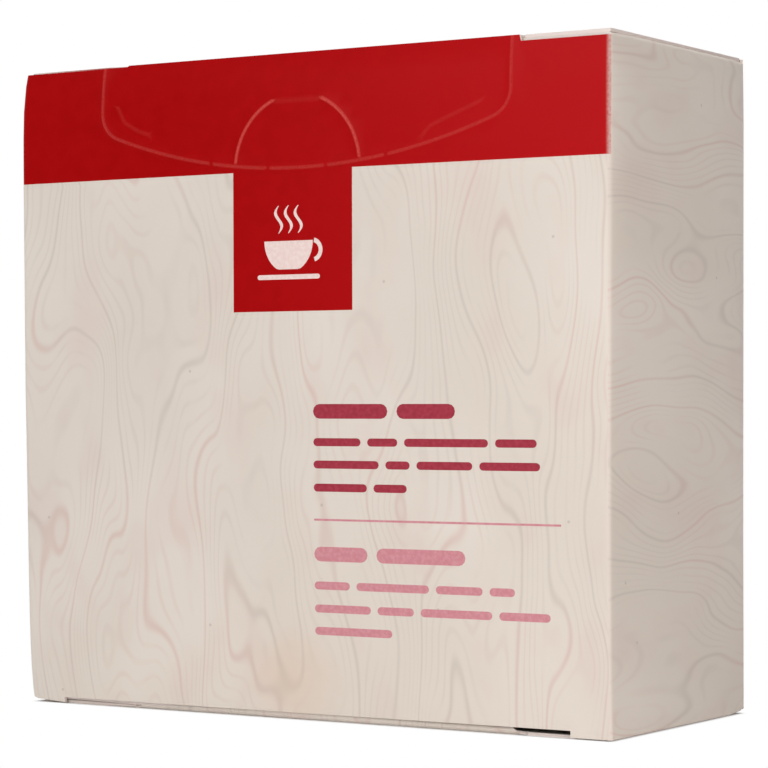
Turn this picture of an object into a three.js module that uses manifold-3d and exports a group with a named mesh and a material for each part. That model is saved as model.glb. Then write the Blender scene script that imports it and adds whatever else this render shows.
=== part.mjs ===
// A sealed folding carton of paper tea filters. One printed board blank is wrapped into a sleeve,
// lapped at the back left edge, and shut at both ends by a panel that hangs from the back, lies over
// the dust flaps and tucks in behind the front. The front carries a perforated lid outline and a
// push-in thumb tab. The pack is closed, so it is one solid with the true outside of the folded board.
// Millimetres, +Z up. The origin is the middle of the base, and the front panel faces -Y.
import * as THREE from "three";
import { mergeVertices } from "three/addons/utils/BufferGeometryUtils.js";
import Module from "manifold-3d";

const wasm = await Module();
wasm.setup();

// Overall size of the closed carton
const WIDTH = 100;
const DEPTH = 42;
const HEIGHT = 96;

// Board, folds and the lap of the sleeve
const BOARD = 0.45; // thickness of the board
const FOLD_RADIUS = 0.6; // outside radius of every creased fold
const LAP_REVEAL = 0.3; // strip of the glue flap that shows beside the back panel's cut edge
const CLOSURE_SHY = 0.1; // how far a closure panel stays inside the back panel's cut edge

// Tuck-in closures. Beside the tuck flap a closure ends in a plain cut edge, its shoulder.
const TUCK_LEFT = 31; // from the middle to the tuck flap's left end
const TUCK_RIGHT = 36.5; // from the middle to the tuck flap's right end
const SLIT = 0.3; // width of the cut between the tuck flap and a shoulder
const TUCK_GAP = 0.2; // between the front panel and the closure that tucks in behind it
const TUCK_SLIT = 4; // how far that gap reaches in beside the tuck flap
const SHOULDER_GAP = 0.3; // between the front panel and a shoulder's cut edge
const SHOULDER_POCKET = 3; // how far the opening over a bottom shoulder reaches in

// Free edges of the front panel
const EAR_WIDTH = 6.3; // corner that reaches down to the base at each end of the bottom edge
const EAR_LIFT = 0.2; // of the ears above the surface that the base rests on
const BASE_RECESS = 1.05; // height of the bottom edge between the ears
const LID_DROP = 0.1; // of the top edge below the closure, within the lid
const LEFT_DROP = 0.25; // of the top edge below the closure, left of the lid
const RIGHT_DROP = 0.8; // of the top edge below the closure, right of the lid

// Perforated outline of the lid on the front panel, measured from the top of the carton
const LID_HALF_WIDTH = 35.1;
const LID_SIDE = 9.7; // straight side, before its corner is rounded
const LID_SWEEP = 6.75; // how much lower the middle of the sweep lies than its ends
const LID_CORNER_RADIUS = 4.2;

// Push-in thumb tab, a round arch that stands on the lid's sweep and hinges on a crease
const TAB_RADIUS = 10.7;
const TAB_CREASE_DROP = 0.9; // of the hinge crease below the top of the full arch

// Cutting rule marks
const CUT_WIDTH = 0.3;
const CUT_LENGTH = 10; // between two nicks
const NICK = 0.6; // uncut bridge that holds the perforation shut
const CREASE_WIDTH = 0.5;
const CREASE_DEPTH = 0.12;

// Fineness of the round stretches
const FOLD_SEGMENTS = 6;
const CUT_STEP = 1.5; // longest straight piece along a cut
const OVERRUN = 1; // how far a cutting body passes the face that it opens

const FRONT = -DEPTH / 2;
const FRONT_INSIDE = FRONT + BOARD;
const BACK = DEPTH / 2;
const LEFT = -WIDTH / 2;
const RIGHT = WIDTH / 2;
const QUARTER = Math.PI / 2;

// A closed mesh as a solid, with the vertices that its faces share merged.
function solidOf(geometry) {
  geometry.deleteAttribute("normal");
  geometry.deleteAttribute("uv");
  const merged = mergeVertices(geometry);
  return new wasm.Manifold(
    new wasm.Mesh({
      numProp: 3,
      vertProperties: merged.attributes.position.array,
      triVerts: new Uint32Array(merged.index.array),
    }),
  );
}

// An outline pushed from one coordinate to another along X, Y or Z. The outline is drawn in YZ, XZ or XY.
function pushed(outline, axis, from, to) {
  const x = new THREE.Vector3(1, 0, 0);
  const y = new THREE.Vector3(0, 1, 0);
  const z = new THREE.Vector3(0, 0, 1);
  const geometry = new THREE.ExtrudeGeometry(outline, {
    depth: to - from,
    bevelEnabled: false,
    curveSegments: FOLD_SEGMENTS,
  });
  const turned = new THREE.Matrix4();
  if (axis === "x") turned.makeBasis(y, z, x).setPosition(from, 0, 0);
  if (axis === "y") turned.makeBasis(x, z, y.negate()).setPosition(0, to, 0);
  if (axis === "z") turned.setPosition(0, 0, from);
  return solidOf(geometry.applyMatrix4(turned));
}

function box(x0, x1, y0, y1, z0, z1) {
  const outline = new THREE.Shape();
  outline.moveTo(x0, y0).lineTo(x1, y0).lineTo(x1, y1).lineTo(x0, y1).closePath();
  return pushed(outline, "z", z0, z1);
}

// A rectangle with its four corners rounded by the fold radius.
function foldedRectangle(a0, a1, b0, b1) {
  const r = FOLD_RADIUS;
  const outline = new THREE.Shape();
  outline.moveTo(a0 + r, b0);
  outline.lineTo(a1 - r, b0).absarc(a1 - r, b0 + r, r, -QUARTER, 0);
  outline.lineTo(a1, b1 - r).absarc(a1 - r, b1 - r, r, 0, QUARTER);
  outline.lineTo(a0 + r, b1).absarc(a0 + r, b1 - r, r, QUARTER, 2 * QUARTER);
  outline.lineTo(a0, b0 + r).absarc(a0 + r, b0 + r, r, 2 * QUARTER, 3 * QUARTER);
  return outline;
}

// The sleeve seen from above: three round folds, and the lap at the back left edge, where the glue
// flap turns in one board thickness under the back panel's cut edge.
const lapSetback = FOLD_RADIUS + LAP_REVEAL;
const closureInset = lapSetback + CLOSURE_SHY;
function sleevePlan() {
  const r = FOLD_RADIUS;
  const lapped = BACK - BOARD;
  const plan = new THREE.Shape();
  plan.moveTo(LEFT + r, FRONT);
  plan.lineTo(RIGHT - r, FRONT).absarc(RIGHT - r, FRONT + r, r, -QUARTER, 0);
  plan.lineTo(RIGHT, BACK - r).absarc(RIGHT - r, BACK - r, r, 0, QUARTER);
  plan.lineTo(LEFT + lapSetback, BACK).lineTo(LEFT + lapSetback, lapped);
  plan.lineTo(LEFT + r, lapped).absarc(LEFT + r, lapped - r, r, QUARTER, 2 * QUARTER);
  plan.lineTo(LEFT, FRONT + r).absarc(LEFT + r, FRONT + r, r, 2 * QUARTER, 3 * QUARTER);
  return plan;
}

// Side and back panels with the dust flaps folded in, behind the front panel.
function sleeve() {
  const standing = pushed(sleevePlan(), "z", 0, HEIGHT);
  const dustFolds = foldedRectangle(LEFT, RIGHT, BOARD, HEIGHT - BOARD);
  return standing.intersect(pushed(dustFolds, "y", FRONT_INSIDE, BACK + OVERRUN));
}

// The back panel's two closures, folded over the dust flaps. The shoulders end square, and between
// two slits the tuck flap's stretch turns in behind the front panel.
function closures() {
  const r = FOLD_RADIUS;
  const edge = FRONT_INSIDE + SHOULDER_GAP;
  const tuckFront = FRONT_INSIDE + TUCK_GAP;
  const square = new THREE.Shape();
  square.moveTo(edge, 0).lineTo(BACK - r, 0).absarc(BACK - r, r, r, -QUARTER, 0);
  square.lineTo(BACK, HEIGHT - r).absarc(BACK - r, HEIGHT - r, r, 0, QUARTER).lineTo(edge, HEIGHT);
  const whole = pushed(square, "x", LEFT + closureInset, RIGHT - closureInset);
  const cleared = box(-TUCK_LEFT, TUCK_RIGHT, FRONT, tuckFront + r, -OVERRUN, HEIGHT + OVERRUN);
  const rooted = tuckFront + 2 * r;
  const tucked = new THREE.Shape();
  tucked.moveTo(rooted, 0).lineTo(rooted, HEIGHT);
  tucked.lineTo(tuckFront + r, HEIGHT).absarc(tuckFront + r, HEIGHT - r, r, QUARTER, 2 * QUARTER);
  tucked.lineTo(tuckFront, r).absarc(tuckFront + r, r, r, 2 * QUARTER, 3 * QUARTER);
  return whole.subtract(cleared).add(pushed(tucked, "x", SLIT - TUCK_LEFT, TUCK_RIGHT - SLIT));
}

// The front panel with its free top and bottom edges, rounded into the sleeve's vertical folds.
const earEnd = WIDTH / 2 - EAR_WIDTH;
function frontPanel() {
  const leftTop = HEIGHT - LEFT_DROP;
  const lidTop = HEIGHT - LID_DROP;
  const rightTop = HEIGHT - RIGHT_DROP;
  const outline = new THREE.Shape();
  outline.moveTo(LEFT, EAR_LIFT).lineTo(-earEnd, EAR_LIFT).lineTo(-earEnd, BASE_RECESS);
  outline.lineTo(earEnd, BASE_RECESS).lineTo(earEnd, EAR_LIFT).lineTo(RIGHT, EAR_LIFT);
  outline.lineTo(RIGHT, rightTop).lineTo(LID_HALF_WIDTH, rightTop).lineTo(LID_HALF_WIDTH, lidTop);
  outline.lineTo(-LID_HALF_WIDTH, lidTop).lineTo(-LID_HALF_WIDTH, leftTop).lineTo(LEFT, leftTop);
  const standing = pushed(sleevePlan(), "z", 0, HEIGHT);
  return pushed(outline, "y", FRONT, FRONT_INSIDE).intersect(standing);
}

// The gaps that run in behind the front panel, beside the tuck flaps and over the bottom shoulders.
function openGaps() {
  const behind = FRONT_INSIDE + TUCK_GAP;
  const pocket = FRONT_INSIDE + SHOULDER_POCKET;
  const top = box(-TUCK_LEFT, TUCK_RIGHT, FRONT_INSIDE, behind, HEIGHT - TUCK_SLIT, HEIGHT + OVERRUN);
  const bottom = box(-TUCK_LEFT, TUCK_RIGHT, FRONT_INSIDE, behind, -OVERRUN, TUCK_SLIT);
  const strip = box(-earEnd, earEnd, FRONT_INSIDE, pocket, BOARD, BASE_RECESS);
  const kept = box(-TUCK_LEFT - SLIT, TUCK_RIGHT + SLIT, FRONT_INSIDE, pocket + OVERRUN, 0, HEIGHT);
  return strip.subtract(kept).add(top).add(bottom);
}

// The lid's outline on the front panel, in XZ: a straight side, a round corner, the sweep and back up.
const sweepLowest = HEIGHT - LID_SIDE - LID_SWEEP;
const sweepRadius = (LID_HALF_WIDTH ** 2 + LID_SWEEP ** 2) / (2 * LID_SWEEP);
const sweepCentre = sweepLowest + sweepRadius;
function lidPath() {
  const r = LID_CORNER_RADIUS;
  const cornerX = LID_HALF_WIDTH - r;
  const cornerZ = sweepCentre - Math.sqrt((sweepRadius - r) ** 2 - cornerX ** 2);
  const turn = Math.atan2(cornerZ - sweepCentre, cornerX); // where the corner meets the sweep
  const path = new THREE.Path();
  path.moveTo(-LID_HALF_WIDTH, HEIGHT).lineTo(-LID_HALF_WIDTH, cornerZ);
  path.absarc(-cornerX, cornerZ, r, 2 * QUARTER, 2 * QUARTER - turn);
  path.absarc(0, sweepCentre, sweepRadius, -2 * QUARTER - turn, turn);
  path.absarc(cornerX, cornerZ, r, turn, 0);
  return path.lineTo(LID_HALF_WIDTH, HEIGHT);
}

// One side of the thumb tab's arch, from a nick above the sweep up to the end of the crease.
const tabCreaseRise = TAB_RADIUS - TAB_CREASE_DROP;
const tabCreaseAngle = Math.asin(tabCreaseRise / TAB_RADIUS);
function tabPath(side) {
  const foot = sweepRadius - Math.sqrt(sweepRadius ** 2 - TAB_RADIUS ** 2);
  const start = Math.asin(foot / TAB_RADIUS) + (NICK + CUT_WIDTH) / TAB_RADIUS;
  const path = new THREE.Path();
  if (side > 0) return path.absarc(0, sweepLowest, TAB_RADIUS, start, tabCreaseAngle);
  return path.absarc(0, sweepLowest, TAB_RADIUS, 2 * QUARTER - start, 2 * QUARTER - tabCreaseAngle, true);
}

// A groove of one width along part of a path, sunk into the front panel.
function groove(path, from, to, width, depth) {
  const length = path.getLength();
  const steps = Math.max(1, Math.ceil((to - from) / CUT_STEP));
  const left = [];
  const right = [];
  for (let i = 0; i <= steps; i++) {
    const share = Math.min(1, (from + ((to - from) * i) / steps) / length); // rounding may pass the end
    const at = path.getPointAt(share);
    const along = path.getTangentAt(share);
    const across = new THREE.Vector2(-along.y, along.x).multiplyScalar(width / 2);
    left.push(at.clone().add(across));
    right.push(at.clone().sub(across));
  }
  const outline = new THREE.Shape([...right, ...left.reverse()]);
  return pushed(outline, "y", FRONT - OVERRUN, FRONT + depth);
}

// Cuts of equal length along a path, with a nick between each two.
function perforation(path) {
  const length = path.getLength();
  const count = Math.max(1, Math.round((length + NICK) / (CUT_LENGTH + NICK)));
  const cut = (length + NICK) / count - NICK;
  const cuts = [];
  for (let i = 0; i < count; i++) {
    const from = i * (cut + NICK);
    cuts.push(groove(path, from, from + cut, CUT_WIDTH, BOARD));
  }
  return cuts;
}

function tabCrease() {
  const half = TAB_RADIUS * Math.cos(tabCreaseAngle);
  const z = sweepLowest + tabCreaseRise;
  const path = new THREE.Path().moveTo(-half, z).lineTo(half, z);
  return groove(path, NICK, path.getLength() - NICK, CREASE_WIDTH, CREASE_DEPTH);
}

function carton() {
  const cuts = [...perforation(lidPath()), ...perforation(tabPath(-1)), ...perforation(tabPath(1))];
  const closed = sleeve().add(closures()).subtract(openGaps()).add(frontPanel());
  return [...cuts, tabCrease()].reduce((solid, cut) => solid.subtract(cut), closed);
}

// A solid as a three.js mesh under its node's name.
function meshOf(solid, name, material) {
  const made = solid.getMesh();
  const geometry = new THREE.BufferGeometry();
  geometry.setAttribute("position", new THREE.BufferAttribute(made.vertProperties, made.numProp));
  geometry.setIndex(new THREE.BufferAttribute(made.triVerts, 1));
  geometry.computeVertexNormals();
  const mesh = new THREE.Mesh(geometry, material);
  mesh.name = name;
  return mesh;
}

const printedBoard = new THREE.MeshStandardMaterial({ color: 0xded5ca, roughness: 0.5, metalness: 0 });

const pack = new THREE.Group();
pack.add(meshOf(carton(), "carton", printedBoard));

export default pack;
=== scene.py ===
"""A closed carton of paper tea filters, made the way the real one is.

A printed and cut board blank is laid out flat, folded round its creases and filled out a little.
Lengths are millimetres until a mesh is made. On the blank, u runs along the board from the middle
of the front panel to the right, and v is the height."""
import math
from collections import namedtuple

import bpy
import numpy as np
from mathutils import Matrix, Vector
from mathutils.geometry import delaunay_2d_cdt

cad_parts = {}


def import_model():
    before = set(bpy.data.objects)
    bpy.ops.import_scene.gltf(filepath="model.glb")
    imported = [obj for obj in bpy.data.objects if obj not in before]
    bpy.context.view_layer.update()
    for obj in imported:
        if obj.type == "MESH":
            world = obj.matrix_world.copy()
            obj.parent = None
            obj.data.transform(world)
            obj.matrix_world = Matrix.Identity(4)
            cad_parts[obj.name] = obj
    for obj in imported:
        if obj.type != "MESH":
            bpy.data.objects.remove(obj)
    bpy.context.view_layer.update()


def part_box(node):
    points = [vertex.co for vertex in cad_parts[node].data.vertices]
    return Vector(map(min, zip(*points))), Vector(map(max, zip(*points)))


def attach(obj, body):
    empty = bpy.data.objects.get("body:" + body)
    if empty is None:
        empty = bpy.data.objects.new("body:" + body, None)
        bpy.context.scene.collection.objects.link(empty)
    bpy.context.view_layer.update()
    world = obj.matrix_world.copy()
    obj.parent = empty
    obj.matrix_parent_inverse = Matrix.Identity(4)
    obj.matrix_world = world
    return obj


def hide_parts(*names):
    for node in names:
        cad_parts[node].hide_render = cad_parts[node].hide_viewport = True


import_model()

# Size of the closed carton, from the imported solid
MM = 0.001
LOW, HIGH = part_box("carton")
WIDTH = (HIGH.x - LOW.x) / MM
DEPTH = (HIGH.y - LOW.y) / MM
HEIGHT = (HIGH.z - LOW.z) / MM

# Board, folds and the lap of the sleeve
BOARD = 0.45
FOLD_RADIUS = 0.6
FOLD_ARC = FOLD_RADIUS * math.pi / 2
FOLD_STEPS = 6
LAP_REVEAL = 0.3
GLUE_FLAP = 13.0
GLUE_TAPER = 5.0

# Flaps: dust flaps on the side panels, closures with a tuck flap on the back panel
DUST_REACH = 30.0
DUST_SHY = 0.02
DUST_TAPER = 0.05
DUST_CORNER = 5.0
DUST_GAP = 0.02
RIGHT_DUST_SPRING = math.radians(40)
CORNER_DROP = 0.15
TOP_SHY = 0.1
BASE_SHY = 0.9
TOP_SPREAD = 0.3
TOP_SPREAD_REACH = 2.0
SHOULDER_GAP = 0.3
TUCK_GAP = 0.2
TUCK_LEFT = 31.0
TUCK_RIGHT = 36.5
TUCK_SLIT = 0.3
TUCK_REACH = 13.0
TUCK_TAPER = 14.0
TUCK_CORNER = 4.0
CLOSURE_FLAT = DEPTH - BOARD - TUCK_GAP - 2 * FOLD_RADIUS
SIDE_CREASE = FOLD_RADIUS + BOARD + DUST_GAP
SPRUNG_CREASE = FOLD_RADIUS + DUST_GAP
BACK_CREASE = FOLD_RADIUS

# Free edges of the front panel, measured in from the carton's ends
LEFT_DROP = 0.25
LID_DROP = 0.05
RIGHT_DROP = 0.83
EAR_WIDTH = 6.3
EAR_LIFT = 0.2
BASE_LEFT = 0.95
BASE_RIGHT = 1.15

# How far the bottom tuck flap leans back from the front, at places from left to right
BASE_LEAN_PLACES = (-27.0, -15.0, 8.0, 30.0)
BASE_LEAN = np.radians((40.0, 0.0, 0.0, 65.0))
BASE_SHOULDER_SLACK = 0.2

# Perforated lid outline and push-in thumb tab on the front panel
LID_HALF_WIDTH = 35.1
LID_SIDE = 9.7
LID_SWEEP = 6.75
LID_CORNER_RADIUS = 4.2
TAB_RADIUS = 10.7
TAB_CREASE_DROP = 0.9
CUT_LENGTH = 10.0
NICK = 0.6
NICKED_HALF_WIDTH = 21.0
CUT_HALF_WIDTH = 0.17
CUT_DEPTH = 0.03
CUT_LIP = 0.05
CUT_STEP = 0.3
CREASE_HALF_WIDTH = 0.3
CREASE_DEPTH = 0.05
# How strongly each cut, crease and ridge is marked in colour. All of them lie on the red, where the mark is
# a lighter red: a painted highlight along the lips and ridges.
PERFORATION_COLOUR = 0.42
TAB_COLOUR = 1.0
CREASE_COLOUR = 0.1
SHOW_THROUGH_HALF_WIDTH = 0.22
SHOW_THROUGH_RISE = 0.05
SHOW_THROUGH_COLOUR = 0.14

# How far the filled carton's walls bow outwards
FRONT_BOW_LEFT = 1.2
FRONT_BOW_RIGHT = 0.6
FRONT_BOW_MIDDLE = 0.7
BACK_BOW = 0.9
LEFT_BOW_FRONT = 1.0
LEFT_BOW_MIDDLE = 0.5
LEFT_BOW_LOW = 0.62
LEFT_BOW_HIGH = 1.18
RIGHT_BOW_MIDDLE = 0.2
RIGHT_BOW_FULL = 1.0
RIGHT_BOW_START = 25.0
RIGHT_BOW_END = 85.0
TOP_BOW_SHARE = 0.5
TOP_CROWN = 0.3
TOP_CROWN_REACH = 4.0

# Lower corners that are pressed in a little: which they are, how far they rise and how far that reaches
PRESSED_CORNERS = ((-1, -1), (-1, 1), (1, 1))
PRESSED_RISE = 0.8
PRESSED_REACH = 3.0

# Print on the front panel
BAND_BOTTOM = 79.2
LABEL_LEFT = -11.1
LABEL_RIGHT = 9.45
LABEL_BOTTOM = 58.9
RED_END = WIDTH / 2 - FOLD_RADIUS + 0.8 * FOLD_ARC
RED_BACK_SHY = 0.4
TEXT_LEFT = 2.7

# Marks on the cream print
STAIN_PLACE = (-1.5, 6.0, 0.0)
STAIN_REACH = 13.0
SPECK_SPACING = 27.0

# Wear of the print on the folds: how strong, where across the fold, and how wide, in shares of the fold. On
# the front-right fold it is stronger and set towards the side, partly wear and partly a painted highlight
# along that fold.
Wear = namedtuple("Wear", "most middle reach")
PLAIN_WEAR = Wear(0.6, 0.5, 1.0)
FOLD_WEAR_AND_HIGHLIGHT = {"front_fold": Wear(1.0, 0.75, 0.75), "left_fold": Wear(0.25, 0.5, 1.0)}

# Fineness of the mesh
FRONT_GRID = 2.0
SIDE_GRID = 1.5
BACK_GRID = 3.5
CLEAR_OF_CUT = 0.8
SHARP_ANGLE = math.radians(40)

# Where print and board differ, in the order of the material slots
PAPER, RED, DEEP, ROSE, PALE, CORE, INSIDE = range(7)

Stretch = namedtuple("Stretch", "start end place heading bends")
# A cut's colour is how strongly it lightens the print: on the red, a painted highlight along its lips.
Cut = namedtuple("Cut", "path half_width depth lip nicked colour")


# The sleeve seen from above
def sleeve_stretches():
    """Panels and folds met along the outside surface, from the glue flap round to the back's cut edge."""
    panels = {
        "glue": GLUE_FLAP,
        "left": DEPTH - BOARD - 2 * FOLD_RADIUS,
        "front": WIDTH - 2 * FOLD_RADIUS,
        "right": DEPTH - 2 * FOLD_RADIUS,
        "back": WIDTH - 2 * FOLD_RADIUS - LAP_REVEAL,
    }
    start = -panels["front"] / 2 - panels["left"] - panels["glue"] - 2 * FOLD_ARC
    place = np.array((FOLD_RADIUS + GLUE_FLAP - WIDTH / 2, DEPTH / 2 - BOARD))
    heading = math.pi
    found = {}
    for name, length in panels.items():
        ahead = np.array((math.cos(heading), math.sin(heading)))
        left = np.array((-math.sin(heading), math.cos(heading)))
        found[name] = Stretch(start, start + length, place, heading, False)
        start += length
        place = place + length * ahead
        found[name + "_fold"] = Stretch(start, start + FOLD_ARC, place, heading, True)
        start += FOLD_ARC
        place = place + FOLD_RADIUS * (ahead + left)
        heading += math.pi / 2
    del found["back_fold"]
    return found


STRETCHES = sleeve_stretches()


def on_panel(u, name):
    stretch = STRETCHES[name]
    return (u > stretch.start + 1e-6) & (u < stretch.end - 1e-6)


def around(u):
    """Where distances along the sleeve lie seen from above, and the heading there."""
    x, y, heading = np.zeros_like(u), np.zeros_like(u), np.zeros_like(u)
    for stretch in STRETCHES.values():
        on = (u >= stretch.start - 1e-6) & (u <= stretch.end + 1e-6)
        run = u[on] - stretch.start
        turned = run / FOLD_RADIUS if stretch.bends else np.zeros_like(run)
        side, ahead = FOLD_RADIUS * (1 - np.cos(turned)), FOLD_RADIUS * np.sin(turned)
        if not stretch.bends:
            ahead = run
        cos, sin = math.cos(stretch.heading), math.sin(stretch.heading)
        x[on] = stretch.place[0] + ahead * cos - side * sin
        y[on] = stretch.place[1] + ahead * sin + side * cos
        heading[on] = stretch.heading + turned
    return x, y, heading


# Folding
def bent(past, most):
    """Board bent round a fold by at most the given angle: how far over and up it has come, and its turn."""
    turn = np.clip(past / FOLD_RADIUS, 0, most)
    straight = past - FOLD_RADIUS * turn
    over = FOLD_RADIUS * (1 - np.cos(turn)) + straight * np.sin(turn)
    up = FOLD_RADIUS * np.sin(turn) + straight * np.cos(turn)
    return over, up, turn


def over_end(past, most, flat, tuck):
    """A flap past its crease: turned by at most an angle, then flat, then turned down by another."""
    inward, rise, turn = bent(np.minimum(past, FOLD_ARC + flat), most)
    down, ahead, second = bent(np.maximum(past - FOLD_ARC - flat, 0), tuck)
    return inward + ahead, rise - down, turn + second


def folded(u, v, lift):
    """Points of the blank folded into the carton, raised by lift from the outside surface."""
    x, y, heading = around(u)
    side = on_panel(u, "left") | on_panel(u, "right")
    back = on_panel(u, "back")
    upper = v > HEIGHT / 2
    tucked = back & (x > -TUCK_LEFT) & (x < TUCK_RIGHT)
    sprung = on_panel(u, "right") & ~upper
    crease = np.where(sprung, SPRUNG_CREASE, np.where(side, SIDE_CREASE, BACK_CREASE))
    past = np.where(upper, v - HEIGHT + crease, crease - v)
    past = np.where(side | back, np.clip(past, 0, None), 0)
    most = math.pi / 2 + np.where(sprung, RIGHT_DUST_SPRING, 0)
    tuck = math.pi / 2 + np.where(upper, 0, np.interp(x, BASE_LEAN_PLACES, BASE_LEAN))
    inward, rise, turn = over_end(past, most, np.where(tucked, CLOSURE_FLAT, 2 * DEPTH), tuck)
    inward *= np.where(back & ~upper & ~tucked, 1 - BASE_SHOULDER_SLACK / DEPTH, 1)
    wider = np.where(back & upper, TOP_SPREAD * np.clip(past / TOP_SPREAD_REACH, 0, 1), 0)
    x = x * (1 + 2 * wider / WIDTH)
    level = np.where(upper, HEIGHT - crease + rise, crease - rise)
    z = np.where(past > 0, level, v) + np.where(upper, 1, -1) * lift * np.sin(turn)
    out = lift * np.cos(turn) - inward
    return np.stack((x + np.sin(heading) * out, y - np.cos(heading) * out, z), axis=1)


def filled_out(points):
    """The folded carton pressed out by what it holds: the walls bow, and both closed ends stay put."""
    x, y, z = points.T
    far = np.clip(2 * z / HEIGHT - 1, -1, 1)
    upper = 1 - (1 - TOP_BOW_SHARE) * far**14
    lower = 0.65 * (1 - far**8) + 0.35 * (1 - np.abs(far))
    bow = np.where(far > 0, upper, lower)
    across, along = 2 * x / WIDTH, 2 * y / DEPTH
    lean = LEFT_BOW_LOW + (LEFT_BOW_HIGH - LEFT_BOW_LOW) * z / HEIGHT
    front = FRONT_BOW_LEFT * lean * (1 - across) / 2 + FRONT_BOW_RIGHT * (1 + across) / 2
    front = front + FRONT_BOW_MIDDLE * (1 - across**2)
    back = BACK_BOW * (1 - across**2)
    left = lean * (LEFT_BOW_FRONT * (1 - along) / 2 + LEFT_BOW_MIDDLE * (1 - along**2))
    rise = np.clip((z - RIGHT_BOW_START) / (RIGHT_BOW_END - RIGHT_BOW_START), 0, 1)
    right = RIGHT_BOW_FULL * rise * (1 - np.clip(np.abs(along), 0, 1) ** 10)
    right = right + RIGHT_BOW_MIDDLE * (1 - along**2)
    near_front, near_back = np.clip(-along, 0, 1) ** 3, np.clip(along, 0, 1) ** 3
    near_left, near_right = np.clip(-across, 0, 1) ** 6, np.clip(across, 0, 1) ** 6
    dx = bow * (right * near_right - left * near_left)
    dy = bow * (back * near_back - front * near_front)
    dz = TOP_CROWN * np.clip(1 - (HEIGHT - z) / TOP_CROWN_REACH, 0, 1) ** 2
    for side, end in PRESSED_CORNERS:
        gap = np.hypot(x - side * WIDTH / 2, y - end * DEPTH / 2) / PRESSED_REACH
        dz = dz + PRESSED_RISE * np.clip(1 - gap, 0, 1) ** 2 * np.clip(1 - z / PRESSED_REACH, 0, 1)
    return points + np.stack((dx, dy, dz), axis=1)


# Outlines on the blank
def arc(u, v, radius, start, end, steps=8):
    """Points on a circle between two angles in degrees."""
    angles = np.radians(np.linspace(start, end, steps + 1))
    return [(u + radius * math.cos(a), v + radius * math.sin(a)) for a in angles]


def flap(start, end, root, tip, taper, corner):
    """A flap's free edge from its left root to its right root, with tapered sides and round corners."""
    left, right = start + taper + corner, end - taper - corner
    return [
        (start, root),
        *arc(left, tip - corner, corner, 180, 90),
        *arc(right, tip - corner, corner, 90, 0),
        (end, root),
    ]


def closure_edge(shy):
    """A closure's free edge: shoulders, slits, and the tuck flap between them."""
    back = STRETCHES["back"]
    middle = back.start + WIDTH / 2 - FOLD_RADIUS
    start, end = back.start + shy, back.end - shy
    tuck_start, tuck_end = middle - TUCK_RIGHT, middle + TUCK_LEFT
    crease = FOLD_ARC - BACK_CREASE
    shoulder = crease + DEPTH - BOARD - SHOULDER_GAP - FOLD_RADIUS
    fold = crease + CLOSURE_FLAT
    tip = fold + FOLD_ARC + TUCK_REACH
    tuck = flap(tuck_start + TUCK_SLIT, tuck_end - TUCK_SLIT, fold, tip, TUCK_TAPER, TUCK_CORNER)
    return [
        (start, -BACK_CREASE),
        (start, shoulder),
        (tuck_start, shoulder),
        (tuck_start, fold),
        *tuck,
        (tuck_end, fold),
        (tuck_end, shoulder),
        (end, shoulder),
        (end, -BACK_CREASE),
    ]


def dust_flap(panel, crease):
    """A dust flap's free edge past its crease."""
    tip = FOLD_ARC - crease + DUST_REACH
    return flap(panel.start + DUST_SHY, panel.end - DUST_SHY, -crease, tip, DUST_TAPER, DUST_CORNER)


def end_edge(front_edge, left_crease, right_crease, shy):
    """One end of the blank from the glue flap to the back panel, as (u, how far past the carton's end)."""
    glue, left, right, back = (STRETCHES[name] for name in ("glue", "left", "right", "back"))
    step = DUST_SHY / 2
    edge = [(glue.start, -GLUE_TAPER), (glue.end, -left_crease), (left.start, -left_crease)]
    edge += dust_flap(left, left_crease)
    edge += [(left.end - step, -left_crease), (left.end, front_edge[0][1])]
    edge += front_edge
    edge += [(right.start, front_edge[-1][1]), (right.start + step, -right_crease)]
    edge += dust_flap(right, right_crease)
    edge += [(right.end - step, -right_crease), (right.end, -CORNER_DROP), (back.start, -CORNER_DROP)]
    edge += closure_edge(shy)
    return edge + [(back.end, -CORNER_DROP)]


def top_front_edge():
    half = STRETCHES["front"].end
    return [
        (-half, -LEFT_DROP),
        (-TUCK_LEFT, -LEFT_DROP),
        (-TUCK_LEFT + TUCK_SLIT, -LID_DROP),
        (TUCK_RIGHT - TUCK_SLIT, -LID_DROP),
        (TUCK_RIGHT, -RIGHT_DROP),
        (half, -RIGHT_DROP),
    ]


def bottom_front_edge():
    """Ears at both corners, and a higher cut edge between them."""
    half = STRETCHES["front"].end
    ear = WIDTH / 2 - EAR_WIDTH
    return [
        (-half, -EAR_LIFT),
        (-ear, -EAR_LIFT),
        (-ear, -BASE_LEFT),
        (ear, -BASE_RIGHT),
        (ear, -EAR_LIFT),
        (half, -EAR_LIFT),
    ]


def blank_outline():
    top = end_edge(top_front_edge(), SIDE_CREASE, SIDE_CREASE, TOP_SHY)
    bottom = end_edge(bottom_front_edge(), SIDE_CREASE, SPRUNG_CREASE, BASE_SHY)
    return [(u, -past) for u, past in bottom] + [(u, HEIGHT + past) for u, past in top[::-1]]


# Cuts and creases pressed into the front panel
def evenly(points, step):
    """The same path with its points a step apart."""
    points = np.array(points, float)
    along = np.concatenate(([0], np.cumsum(np.linalg.norm(np.diff(points, axis=0), axis=1))))
    count = max(2, int(round(along[-1] / step)) + 1)
    wanted = np.linspace(0, along[-1], count)
    return np.stack([np.interp(wanted, along, points[:, i]) for i in range(2)], axis=1)


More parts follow.
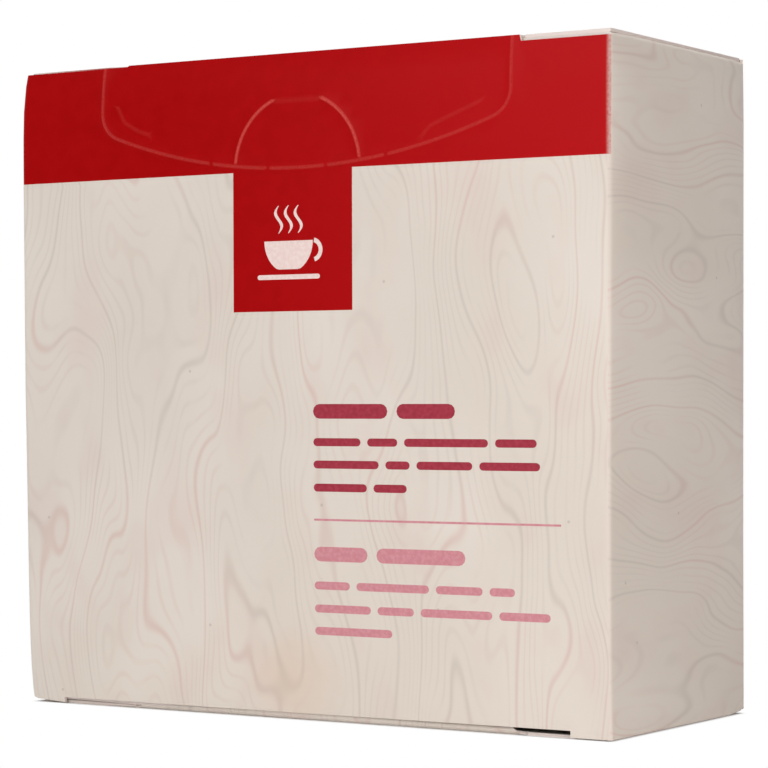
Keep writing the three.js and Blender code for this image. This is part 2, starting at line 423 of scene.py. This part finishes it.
def lid_cuts():
    """The lid's outline, the two sides of the thumb tab's arch and its hinge crease."""
    radius = (LID_HALF_WIDTH**2 + LID_SWEEP**2) / (2 * LID_SWEEP)
    lowest = HEIGHT - LID_SIDE - LID_SWEEP
    centre = lowest + radius
    corner = LID_HALF_WIDTH - LID_CORNER_RADIUS
    corner_v = centre - math.sqrt((radius - LID_CORNER_RADIUS) ** 2 - corner**2)
    turn = math.degrees(math.atan2(corner_v - centre, corner))
    outline = [
        (-LID_HALF_WIDTH, HEIGHT),
        *arc(-corner, corner_v, LID_CORNER_RADIUS, 180, 180 - turn, 16),
        *arc(0, centre, radius, -180 - turn, turn, 80)[1:-1],
        *arc(corner, corner_v, LID_CORNER_RADIUS, turn, 0, 16),
        (LID_HALF_WIDTH, HEIGHT),
    ]
    foot = radius - math.sqrt(radius**2 - TAB_RADIUS**2)
    low = math.degrees(math.asin(foot / TAB_RADIUS) + NICK / TAB_RADIUS)
    rise = TAB_RADIUS - TAB_CREASE_DROP
    high = math.degrees(math.asin(rise / TAB_RADIUS))
    half = TAB_RADIUS * math.cos(math.radians(high)) - NICK
    right = arc(0, lowest, TAB_RADIUS, low, high, 24)
    left = [(-u, v) for u, v in right]
    crease = [(-half, lowest + rise), (half, lowest + rise)]
    blade = (CUT_HALF_WIDTH, CUT_DEPTH, CUT_LIP)
    return [
        Cut(evenly(outline, CUT_STEP), *blade, True, PERFORATION_COLOUR),
        Cut(evenly(left, CUT_STEP), *blade, False, TAB_COLOUR),
        Cut(evenly(right, CUT_STEP), *blade, False, TAB_COLOUR),
        Cut(evenly(crease, CUT_STEP), CREASE_HALF_WIDTH, CREASE_DEPTH, 0.0, False, CREASE_COLOUR),
    ]


def show_throughs():
    """Edges of the flap tucked behind the front, which press through it as faint ridges."""
    left = [(-32.3, 90.0), (-31.0, 87.6), (-28.4, 86.2), (-26.5, 85.6)]
    right = [(21.0, 83.1), (22.3, 84.4), (30.5, 87.5)]
    width, rise = SHOW_THROUGH_HALF_WIDTH, SHOW_THROUGH_RISE
    return [Cut(evenly(edge, 1.0), width, -rise, 0.0, False, SHOW_THROUGH_COLOUR) for edge in (left, right)]


CUTS = lid_cuts() + show_throughs()


def path_length(path):
    return float(np.linalg.norm(np.diff(path, axis=0), axis=1).sum())


def near(path, points):
    """How far points lie from a path, and how far along it their nearest spots are."""
    start, step = path[:-1], np.diff(path, axis=0)
    length = np.linalg.norm(step, axis=1)
    passed = np.concatenate(([0], np.cumsum(length)[:-1]))
    offset = points[:, None, :] - start[None, :, :]
    share = np.clip((offset * step).sum(axis=2) / length**2, 0, 1)
    gap = np.linalg.norm(offset - share[:, :, None] * step, axis=2)
    nearest = gap.argmin(axis=1)
    rows = np.arange(len(points))
    return gap[rows, nearest], passed[nearest] + share[rows, nearest] * length[nearest]


def uncut_share(cut, along, u):
    """1 where a path is cut, falling to 0 in the nicks that hold the middle of the perforation shut."""
    if not cut.nicked:
        return np.ones_like(along)
    length = path_length(cut.path)
    count = max(1, round((length + NICK) / (CUT_LENGTH + NICK)))
    period = (length + NICK) / count
    from_nick = np.abs((along + NICK / 2) % period - period / 2)
    share = np.clip((period / 2 - NICK / 2 - from_nick) / (0.3 * NICK) + 0.5, 0, 1)
    return np.where(np.abs(u) < NICKED_HALF_WIDTH, share, 1)


def relief(points):
    """How far the front is pressed in or out at points of the blank, and how strongly the cuts are marked:
    board showing in them, and on the red a painted highlight along their lips.
    """
    lift, cut_mark_and_highlight = np.zeros(len(points)), np.zeros(len(points))
    for cut in CUTS:
        reach = 2 * cut.half_width
        low, high = cut.path.min(axis=0) - reach, cut.path.max(axis=0) + reach
        close = np.flatnonzero(((points >= low) & (points <= high)).all(axis=1))
        gap, along = near(cut.path, points[close])
        held = uncut_share(cut, along, points[close, 0])
        widths = (0, cut.half_width, reach)
        lift[close] += held * np.interp(gap, widths, (-cut.depth, cut.lip, 0))
        cut_mark_and_highlight[close] = np.maximum(cut_mark_and_highlight[close], cut.colour * held * np.interp(gap, widths, (1, 0.6, 0)))
    return lift, cut_mark_and_highlight


# Print, as fields of colour on the blank
def bar(left, right, v, height):
    """A rounded bar."""
    radius = height / 2
    return arc(right - radius, v, radius, -90, 90, 6) + arc(left + radius, v, radius, 90, 270, 6)


def bars(v, height, gap, words):
    """A row of bars with the given lengths."""
    left = TEXT_LEFT
    row = []
    for length in words:
        row.append(bar(left, left + length, v, height))
        left += length + gap
    return row


def ring_part(u, v, outer, inner, start, end):
    """A part of a ring between two angles."""
    return arc(u, v, outer, start, end, 16) + arc(u, v, inner, end, start, 16)


def wisp(u, v, height, width):
    """A wavy upright stroke, thin at both ends."""
    share = np.linspace(0, 1, 13)
    sway = u + 0.55 * np.sin(2 * math.pi * share)
    half = width / 2 * np.sin(math.pi * (0.08 + 0.84 * share))
    right = [(s + h, v + height * t) for s, h, t in zip(sway, half, share)]
    left = [(s - h, v + height * t) for s, h, t in zip(sway, half, share)]
    return right + left[::-1]


def cup_sign():
    """A plain teacup sign on the red label: bowl, handle, saucer and steam."""
    u, v = (LABEL_LEFT + LABEL_RIGHT) / 2 - 0.6, (LABEL_BOTTOM + BAND_BOTTOM) / 2 - 1.2
    angles = np.radians(np.linspace(180, 360, 25))
    bowl = [(u + 4.2 * math.cos(a), v + 1.2 + 4.6 * math.sin(a)) for a in angles]
    base = v - 2.9
    bowl = [(x, max(y, base)) for x, y in bowl]
    handle = ring_part(u + 4.1, v - 0.2, 1.75, 1.1, -75, 78)
    saucer = bar(u - 5.4, u + 5.4, v - 4.0, 0.7)
    steam = [wisp(u + shift, v + 2.3, 4.0, 0.6) for shift in (-1.7, 0.0, 1.7)]
    return [bowl, handle, saucer, *steam]


def red_fields():
    """The band and label on the front, and the band that runs over the back and the top closure."""
    back = STRETCHES["back"]
    above = HEIGHT + 2 * DEPTH
    front = [
        (-RED_END, BAND_BOTTOM),
        (LABEL_LEFT, BAND_BOTTOM),
        (LABEL_LEFT, LABEL_BOTTOM),
        (LABEL_RIGHT, LABEL_BOTTOM),
        (LABEL_RIGHT, BAND_BOTTOM),
        (RED_END, BAND_BOTTOM),
        (RED_END, HEIGHT + 1),
        (-RED_END, HEIGHT + 1),
    ]
    ends = back.start + RED_BACK_SHY, back.end + 1
    behind = [(ends[0], BAND_BOTTOM), (ends[1], BAND_BOTTOM), (ends[1], above), (ends[0], above)]
    return [front, behind]


def print_fields():
    """Every printed field with the slot of its ink. A later field lies on an earlier one."""
    fields = [(RED, field) for field in red_fields()]
    deep = bars(44.5, 2.1, 1.5, (12.5, 9.5)) + bars(40.1, 1.15, 1.1, (8.0, 5.0, 13.5, 6.5))
    deep += bars(36.9, 1.15, 1.1, (11.0, 4.0, 9.0, 9.5)) + bars(33.6, 1.15, 1.1, (9.0, 5.5))
    rose = bars(24.1, 2.1, 1.5, (9.0, 14.5)) + bars(19.6, 1.15, 1.1, (6.0, 12.0, 7.5, 4.0))
    rose += bars(16.3, 1.15, 1.1, (9.5, 6.0, 11.5, 8.0)) + bars(13.1, 1.15, 1.1, (13.0,))
    rose.append(bar(TEXT_LEFT, TEXT_LEFT + 40, 29.0, 0.3))
    fields += [(DEEP, field) for field in deep]
    fields += [(ROSE, field) for field in rose]
    fields += [(PALE, field) for field in cup_sign()]
    return fields


# The triangulated blank
def flap_folds():
    """The folds at the panels' ends, as panel, height of the crease and direction of the flap."""
    tuck = FOLD_ARC + CLOSURE_FLAT - BACK_CREASE
    folds = [("back", HEIGHT - BACK_CREASE, 1), ("back", BACK_CREASE, -1)]
    folds += [("back", HEIGHT + tuck, 1), ("back", -tuck, -1)]
    for name, base_crease in (("left", SIDE_CREASE), ("right", SPRUNG_CREASE)):
        folds += [(name, HEIGHT - SIDE_CREASE, 1), (name, base_crease, -1)]
    return folds


def fold_steps():
    """Steps across a fold: its facets, and the lines on both sides where its wear ends."""
    return [-FOLD_ARC / 2, *np.linspace(0, FOLD_ARC, FOLD_STEPS + 1), 1.5 * FOLD_ARC]


def crease_lines():
    """Straight lines across the blank along which the folds' facets meet."""
    lines = []
    for stretch in STRETCHES.values():
        if stretch.bends:
            for u in stretch.start + np.array(fold_steps()):
                lines.append([(u, v) for v in np.linspace(-2, HEIGHT + 2, int(HEIGHT / BACK_GRID))])
    for name, level, direction in flap_folds():
        start, end = STRETCHES[name].start, STRETCHES[name].end
        for v in level + direction * np.array(fold_steps()):
            lines.append([(u, v) for u in np.linspace(start, end, int((end - start) / BACK_GRID))])
    return lines


def cut_lines():
    """Lines beside each cut that its groove and lips need."""
    lines = []
    for cut in CUTS:
        along = np.gradient(cut.path, axis=0)
        across = np.stack((-along[:, 1], along[:, 0]), axis=1)
        across /= np.linalg.norm(across, axis=1)[:, None]
        for shift in (-2, -1, 0, 1, 2):
            lines.append((cut.path + shift * cut.half_width * across).tolist())
    return lines


def grid_points():
    """Points that let the wide faces bow, kept clear of the folds and cuts."""
    points = []
    for name, stretch in STRETCHES.items():
        if stretch.bends:
            continue
        step = {"front": FRONT_GRID, "left": SIDE_GRID, "right": SIDE_GRID}.get(name, BACK_GRID)
        count = int((stretch.end - stretch.start) / step)
        columns = np.linspace(stretch.start, stretch.end, count + 2)[1:-1]
        reach = {"back": CLOSURE_FLAT, "left": DUST_REACH, "right": DUST_REACH}.get(name, 0)
        rows = np.arange(SIDE_CREASE + 0.7 * step, HEIGHT - SIDE_CREASE - 0.3 * step, step)
        past = np.arange(FOLD_ARC + step, FOLD_ARC + reach - 0.3 * step, step)
        rows = np.concatenate((rows, HEIGHT - BACK_CREASE + past, BACK_CREASE - past))
        points += [(u, v) for u in columns for v in rows]
    points = np.array(points)
    clear = np.ones(len(points), bool)
    for cut in CUTS:
        clear &= near(cut.path, points)[0] > CLEAR_OF_CUT
    return points[clear].tolist()


def triangulated():
    """The blank cut into triangles: its points, its triangles and the ink on each triangle."""
    fields = print_fields()
    points, edges, faces = [], [], []
    for ring in [blank_outline()] + [field for _, field in fields]:
        first = len(points)
        points += ring
        faces.append(list(range(first, len(points))))
    for line in crease_lines() + cut_lines():
        first = len(points)
        points += line
        edges += [(i, i + 1) for i in range(first, len(points) - 1)]
    points += grid_points()
    flat = [Vector(point) for point in points]
    found = delaunay_2d_cdt(flat, edges, faces, 0, 1e-4)
    inks = [PAPER] + [ink for ink, _ in fields]
    triangles = [(face, inks[max(rings)]) for face, rings in zip(found[2], found[5]) if 0 in rings]
    return np.array([tuple(point) for point in found[0]]), triangles


# The folded board as one mesh
def board_mesh():
    points, triangles = triangulated()
    faces = np.array([face for face, _ in triangles])
    used, faces = np.unique(faces, return_inverse=True)
    points, faces = points[used], faces.reshape(-1, 3)
    lift, cut_mark_and_highlight = relief(points)
    u, v = points.T
    outside = filled_out(folded(u, v, lift))
    inside = filled_out(folded(u, v, np.full_like(lift, -BOARD)))
    count = len(points)
    directed = {(a, b) for face in faces.tolist() for a, b in zip(face, face[1:] + face[:1])}
    rim = [(a, b) for a, b in directed if (b, a) not in directed]
    rim.sort()
    edge_faces = [(b, a, a + count, b + count) for a, b in rim]
    mesh = bpy.data.meshes.new("carton_board")
    all_faces = faces.tolist() + (faces[:, ::-1] + count).tolist() + edge_faces
    mesh.from_pydata((np.concatenate((outside, inside)) * MM).tolist(), [], all_faces)
    slots = [ink for _, ink in triangles] + [INSIDE] * len(faces) + [CORE] * len(rim)
    mesh.polygons.foreach_set("material_index", slots)
    mesh.shade_smooth()
    mesh.set_sharp_from_angle(angle=SHARP_ANGLE)
    spread = np.concatenate((points, points))
    add_attributes(mesh, spread, np.concatenate((cut_mark_and_highlight, np.zeros(count))))
    mesh.validate()
    return mesh


def fold_wear_and_highlight(points):
    """How worn the print is: most on the middle of a fold, falling to 0 at its sides. On the front-right
    fold this paleness is partly a painted highlight.
    """
    u, v = points.T
    share = np.zeros(len(points))
    for name, stretch in STRETCHES.items():
        if stretch.bends:
            wear = FOLD_WEAR_AND_HIGHLIGHT.get(name, PLAIN_WEAR)
            gap = np.abs(u - stretch.start - wear.middle * FOLD_ARC) / (wear.reach * FOLD_ARC)
            share = np.maximum(share, wear.most * (1 - gap))
    for name, level, direction in flap_folds():
        gap = np.abs(v - level - direction * FOLD_ARC / 2) / FOLD_ARC
        worn = np.maximum(share, PLAIN_WEAR.most * (1 - gap))
        share = np.where(on_panel(u, name), worn, share)
    return share


def add_attributes(mesh, points, cut_mark_and_highlight):
    """Blank coordinates, the colour marks of the cuts (board showing through, and on the red a painted
    highlight along their lips) and wear on the folds (partly a painted highlight on the front-right fold).
    """
    attribute = mesh.attributes.new("blank", "FLOAT_VECTOR", "POINT")
    attribute.data.foreach_set("vector", np.pad(points, ((0, 0), (0, 1))).ravel())
    for name, values in (("cut_mark_and_highlight", cut_mark_and_highlight), ("fold", fold_wear_and_highlight(points))):
        attribute = mesh.attributes.new(name, "FLOAT", "POINT")
        attribute.data.foreach_set("value", values)


# Shader nodes
def srgb(red, green, blue):
    """A colour written as 8-bit screen values, in linear light."""
    linear = [((c / 255 + 0.055) / 1.055) ** 2.4 if c > 10 else c / 255 / 12.92 for c in (red, green, blue)]
    return (*linear, 1.0)


class Surface:
    """A material under construction, with short ways to add and join its nodes."""

    def __init__(self, name, roughness, specular=0.5):
        self.material = bpy.data.materials.new(name)
        self.material.use_nodes = True
        self.tree = self.material.node_tree
        self.shader = self.tree.nodes["Principled BSDF"]
        self.set(self.shader, {"Roughness": roughness, "Specular IOR Level": specular})

    def set(self, node, values):
        for key, value in values.items():
            if isinstance(value, bpy.types.NodeSocket):
                self.tree.links.new(value, node.inputs[key])
            else:
                node.inputs[key].default_value = value

    def add(self, kind, values, **settings):
        node = self.tree.nodes.new("ShaderNode" + kind)
        for key, value in settings.items():
            setattr(node, key, value)
        self.set(node, values)
        return node

    def attribute(self, name, output):
        return self.add("Attribute", {}, attribute_name=name).outputs[output]

    def math(self, operation, a, b=0.0):
        return self.add("Math", {0: a, 1: b}, operation=operation).outputs[0]

    def scaled(self, vector, scale):
        return self.add("Mapping", {"Vector": vector, "Scale": scale}).outputs[0]

    def noise(self, vector, scale, detail=2.0, roughness=0.5, distortion=0.0):
        values = {"Vector": vector, "Scale": scale, "Detail": detail, "Roughness": roughness}
        return self.add("TexNoise", {**values, "Distortion": distortion}).outputs["Fac"]

    def ramp(self, value, low, high, to_low=0.0, to_high=1.0):
        values = {"Value": value, "From Min": low, "From Max": high, "To Min": to_low, "To Max": to_high}
        return self.add("MapRange", values, interpolation_type="SMOOTHSTEP").outputs[0]

    def mix(self, share, a, b):
        node = self.add("Mix", {0: share, 6: a, 7: b}, data_type="RGBA")
        return node.outputs[2]

    def bump(self, height, distance, before=None):
        values = {"Height": height, "Distance": distance}
        if before is not None:
            values["Normal"] = before
        return self.add("Bump", values).outputs[0]


def board_finish(surface, colour, worn, torn_and_highlight_colour):
    """What every printed face shares: ink broken open in the cuts, ink worn off the folds, and board
    texture. On the red the cuts are a lighter red, a painted highlight along their lips, and the wear on
    the front-right fold is partly a painted highlight.
    """
    blank = surface.attribute("blank", "Vector")
    fold = surface.attribute("fold", "Fac")
    cut_mark_and_highlight = surface.attribute("cut_mark_and_highlight", "Fac")
    flecks = surface.noise(blank, 2.6, 3.0, 0.6)
    patchy = surface.ramp(flecks, 0.2, 0.7, 0.45, 1.0)
    rubbed_and_lit = surface.math("MULTIPLY", surface.ramp(fold, 0.1, 1.0), patchy)
    # Marks in the cuts: board colour on the cream, and on the red a lighter red that is a painted highlight
    # along the lips.
    torn_and_highlight = surface.math("MULTIPLY", cut_mark_and_highlight, surface.ramp(flecks, 0.25, 0.6, 0.5, 1.0))
    marked = surface.mix(torn_and_highlight, colour, torn_and_highlight_colour)
    # Print made paler on the folds: wear, and on the front-right fold partly a painted highlight.
    marked = surface.mix(surface.math("MULTIPLY", rubbed_and_lit, worn), marked, srgb(238, 222, 214))
    surface.set(surface.shader, {"Base Color": marked})
    waves = surface.noise(blank, 0.12, 1.0)
    fibres = surface.noise(blank, 5.0, 3.0, 0.6)
    normal = surface.bump(waves, 0.06 * MM)
    surface.set(surface.shader, {"Normal": surface.bump(fibres, 0.004 * MM, normal)})
    return surface.material


def grain_direction(surface):
    """Blank coordinates with the grain running up the front and back, and across the two sides."""
    blank = surface.attribute("blank", "Vector")
    axes = surface.add("SeparateXYZ", {0: blank})
    across = surface.add("CombineXYZ", {0: axes.outputs[1], 1: axes.outputs[0]}).outputs[0]
    off_middle = surface.math("ABSOLUTE", axes.outputs[0])
    middle = STRETCHES["right"].start + (DEPTH - 2 * FOLD_RADIUS) / 2
    on_side = surface.add("Math", {0: off_middle, 1: middle, 2: DEPTH / 2}, operation="COMPARE").outputs[0]
    return surface.add("Mix", {0: on_side, 4: blank, 5: across}, data_type="VECTOR").outputs[1]


def grain_lines(surface, grain):
    """Flowing lines like wood grain: bold ones, fine ones between them, and where they blush."""
    drift = surface.noise(surface.scaled(grain, (1 / 15, 1 / 42, 1.0)), 1.0, 1.5, 0.45, 0.2)
    split = surface.add("SeparateXYZ", {0: grain}).outputs[0]
    straight = surface.math("MULTIPLY", split, 1 / 9)
    field = surface.math("ADD", straight, surface.math("MULTIPLY", drift, 5.0))
    bold = surface.ramp(surface.math("PINGPONG", field, 0.5), 0.0, 0.08, 1.0, 0.0)
    fine_field = surface.math("MULTIPLY", field, 5.0)
    fine = surface.ramp(surface.math("PINGPONG", fine_field, 0.5), 0.02, 0.24, 1.0, 0.0)
    broken = surface.noise(surface.scaled(grain, (1 / 7, 1 / 18, 1.0)), 1.0, 2.0)
    fine = surface.math("MULTIPLY", fine, surface.ramp(broken, 0.35, 0.6))
    blush = surface.noise(surface.scaled(grain, (1 / 26, 1 / 34, 1.0)), 1.0, 1.0)
    return bold, fine, surface.ramp(blush, 0.4, 0.62)


def stain(surface):
    """A faint warm stain low on the front."""
    blank = surface.attribute("blank", "Vector")
    off = surface.add("VectorMath", {0: blank, 1: STAIN_PLACE}, operation="DISTANCE").outputs["Value"]
    ragged = surface.math("ADD", off, surface.math("MULTIPLY", surface.noise(blank, 0.2, 2.0), 5.0))
    return surface.ramp(ragged, 2.0, STAIN_REACH, 0.35, 0.0)


def specks(surface):
    """A few tiny grey specks of dust, far apart."""
    blank = surface.attribute("blank", "Vector")
    spread = {"Vector": blank, "Scale": 1 / SPECK_SPACING}
    cells = surface.add("TexVoronoi", spread, voronoi_dimensions="2D")
    return surface.ramp(cells.outputs["Distance"], 0.1 / SPECK_SPACING, 0.3 / SPECK_SPACING, 0.35, 0.0)


def paper_material():
    """Cream board with a faint grain print."""
    surface = Surface("cream_print", 0.46, 0.3)
    grain = grain_direction(surface)
    bold, fine, blush = grain_lines(surface, grain)
    cloud = surface.noise(surface.scaled(grain, (1 / 25, 1 / 40, 1.0)), 1.0, 2.0)
    ground = surface.mix(surface.ramp(cloud, 0.3, 0.7), srgb(225, 215, 204), srgb(231, 222, 212))
    rosy = surface.noise(surface.scaled(grain, (1 / 9, 1 / 17, 1.0)), 1.0, 2.0)
    ground = surface.mix(surface.ramp(rosy, 0.48, 0.75, 0.0, 0.45), ground, srgb(224, 204, 196))
    ink = surface.mix(blush, srgb(200, 190, 180), srgb(216, 182, 174))
    lined = surface.mix(surface.math("MULTIPLY", fine, 0.22), ground, ink)
    lined = surface.mix(surface.math("MULTIPLY", bold, 0.38), lined, ink)
    lined = surface.mix(stain(surface), lined, srgb(222, 190, 164))
    lined = surface.mix(specks(surface), lined, srgb(150, 142, 136))
    return board_finish(surface, lined, 0.25, srgb(236, 226, 216))


def red_material_with_painted_sheen():
    """Red ink that is a little paler towards the right: a painted sheen."""
    surface = Surface("red_print", 0.36, 0.05)
    blank = surface.attribute("blank", "Vector")
    mottle = surface.noise(blank, 0.35, 3.0)
    across = surface.add("SeparateXYZ", {0: blank}).outputs[0]
    colour = surface.mix(surface.ramp(mottle, 0.3, 0.7), srgb(166, 2, 5), srgb(171, 4, 7))
    # Painted sheen: the red is made paler towards the right.
    colour = surface.mix(surface.ramp(across, -30.0, 60.0), colour, srgb(185, 18, 23))
    # The lighter red given for the cuts is a painted highlight along their lips.
    return board_finish(surface, colour, 0.75, srgb(214, 84, 78))


def ink_material(name, colour, lighter):
    """A print colour whose cover varies a little."""
    surface = Surface(name, 0.45, 0.4)
    mottle = surface.noise(surface.attribute("blank", "Vector"), 1.6, 3.0)
    cover = surface.mix(surface.ramp(mottle, 0.35, 0.7), colour, lighter)
    return board_finish(surface, cover, 0.5, lighter)


def raw_material(name, colour, scale):
    """Uncoated board with visible fibre."""
    surface = Surface(name, 0.8, 0.2)
    fibres = surface.noise(surface.attribute("blank", "Vector"), scale, 4.0, 0.6)
    roughness = surface.ramp(fibres, 0.3, 0.7, 0.7, 0.9)
    normal = surface.bump(fibres, 0.02 * MM)
    surface.set(surface.shader, {"Base Color": colour, "Roughness": roughness, "Normal": normal})
    return surface.material


def board_materials():
    return [
        paper_material(),
        red_material_with_painted_sheen(),
        ink_material("deep_red_print", srgb(152, 24, 48), srgb(166, 40, 62)),
        ink_material("rose_print", srgb(206, 132, 142), srgb(214, 148, 156)),
        ink_material("pale_print", srgb(240, 214, 208), srgb(246, 226, 220)),
        raw_material("board_core", srgb(238, 226, 220), 4.0),
        raw_material("board_inside", srgb(216, 209, 199), 1.5),
    ]


# The carton
carton = bpy.data.objects.new("carton_board", board_mesh())
bpy.context.scene.collection.objects.link(carton)
for made in board_materials():
    carton.data.materials.append(made)
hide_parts("carton")
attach(carton, "root")


# Floor, light and camera
FLOOR_SIZE = 6000.0
FLOOR_INSET = 1.0
FLOOR_FADE = 1.7
WORLD_LIGHT = 0.12
CAMERA_PLACE = (227.92, -359.60, 45.92)
CAMERA_AZIMUTH = math.radians(32.3085)
CAMERA_PITCH = math.radians(-0.3508)
CAMERA_ROLL = math.radians(-0.0795)
CAMERA_LENS = 132.706
SENSOR = 36.0


def seen_rays(tree):
    """1 for rays that show a thing to the camera: straight, in a reflection or through something clear."""
    rays = tree.nodes.new("ShaderNodeLightPath")
    seen = rays.outputs["Is Camera Ray"]
    for kind in ("Is Glossy Ray", "Is Transmission Ray"):
        either = tree.nodes.new("ShaderNodeMath")
        either.operation = "MAXIMUM"
        tree.links.new(seen, either.inputs[0])
        tree.links.new(rays.outputs[kind], either.inputs[1])
        seen = either.outputs[0]
    return seen


def footprint_distance(tree):
    """How far a spot of the floor lies outside a line just within the carton's footprint."""
    value = tree.nodes.new("ShaderNodeNewGeometry").outputs["Position"]
    corner = ((WIDTH / 2 - FLOOR_INSET) * MM, (DEPTH / 2 - FLOOR_INSET) * MM, 0.0)
    origin = (0.0, 0.0, 0.0)
    steps = (("ABSOLUTE", None), ("SUBTRACT", corner), ("MAXIMUM", origin), ("LENGTH", None))
    for operation, other in steps:
        node = tree.nodes.new("ShaderNodeVectorMath")
        node.operation = operation
        tree.links.new(value, node.inputs[0])
        if other is not None:
            node.inputs[1].default_value = other
        value = node.outputs["Value" if operation == "LENGTH" else "Vector"]
    return value


def floor():
    """A white floor that keeps the carton's shadow near it and runs out into plain white."""
    bpy.ops.mesh.primitive_plane_add(size=FLOOR_SIZE * MM)
    ground = bpy.context.object
    ground.name = "floor"
    material = bpy.data.materials.new("white_floor")
    material.use_nodes = True
    tree = material.node_tree
    tree.nodes.clear()
    output = tree.nodes.new("ShaderNodeOutputMaterial")
    matt = tree.nodes.new("ShaderNodeBsdfDiffuse")
    matt.inputs["Color"].default_value = srgb(248, 248, 248)
    glow = tree.nodes.new("ShaderNodeEmission")
    mixer = tree.nodes.new("ShaderNodeMixShader")
    fade = tree.nodes.new("ShaderNodeMapRange")
    fade.interpolation_type = "SMOOTHSTEP"
    fade.inputs["From Max"].default_value = FLOOR_FADE * MM
    share = tree.nodes.new("ShaderNodeMath")
    share.operation = "MULTIPLY"
    link = tree.links.new
    link(footprint_distance(tree), fade.inputs["Value"])
    link(seen_rays(tree), share.inputs[0])
    link(fade.outputs[0], share.inputs[1])
    link(share.outputs[0], mixer.inputs[0])
    link(matt.outputs[0], mixer.inputs[1])
    link(glow.outputs[0], mixer.inputs[2])
    link(mixer.outputs[0], output.inputs["Surface"])
    ground.data.materials.append(material)


def world():
    """Even grey light all round, which the camera sees as white."""
    made = bpy.data.worlds.new("studio")
    bpy.context.scene.world = made
    made.use_nodes = True
    tree = made.node_tree
    background = tree.nodes["Background"]
    level = tree.nodes.new("ShaderNodeMapRange")
    level.inputs["To Min"].default_value = WORLD_LIGHT
    level.inputs["To Max"].default_value = 1.0
    tree.links.new(seen_rays(tree), level.inputs["Value"])
    tree.links.new(level.outputs[0], background.inputs["Strength"])
    background.inputs["Color"].default_value = (1, 1, 1, 1)


def lamp(name, azimuth, elevation, distance, size, power, colour=(1.0, 1.0, 1.0)):
    """A soft light aimed at the carton's middle. Azimuth 0 is straight in front, 90 is to the right."""
    a, e = math.radians(azimuth), math.radians(elevation)
    away = Vector((math.sin(a) * math.cos(e), -math.cos(a) * math.cos(e), math.sin(e)))
    data = bpy.data.lights.new(name, "AREA")
    data.shape = "RECTANGLE"
    data.size, data.size_y = size[0] * MM, size[1] * MM
    data.energy = power
    data.color = colour
    made = bpy.data.objects.new(name, data)
    made.visible_camera = False
    made.location = away * distance * MM + Vector((0, 0, HEIGHT / 2 * MM))
    made.rotation_euler = away.to_track_quat("Z", "Y").to_euler()
    bpy.context.scene.collection.objects.link(made)


def camera():
    data = bpy.data.cameras.new("camera")
    data.sensor_width = SENSOR
    data.lens = CAMERA_LENS
    made = bpy.data.objects.new("camera", data)
    sin, cos = math.sin(CAMERA_AZIMUTH), math.cos(CAMERA_AZIMUTH)
    level = math.cos(CAMERA_PITCH)
    back = Vector((sin * level, -cos * level, math.sin(CAMERA_PITCH)))
    right = Vector((cos, sin, 0))
    turned = Matrix((right, back.cross(right), back)).transposed()
    roll = Matrix.Rotation(CAMERA_ROLL, 3, "Z")
    made.matrix_world = Matrix.Translation(Vector(CAMERA_PLACE) * MM) @ (turned @ roll).to_4x4()
    bpy.context.scene.collection.objects.link(made)
    bpy.context.scene.camera = made


floor()
world()
lamp("key", -6, 28, 900, (600, 600), 3.86)
lamp("fill", 62, -4, 260, (140, 60), 0.135, (1.0, 0.92, 0.88))
lamp("top", 60, 80, 600, (300, 300), 1.5, (1.0, 0.97, 0.95))
camera()
bpy.context.scene.view_settings.view_transform = "Standard"
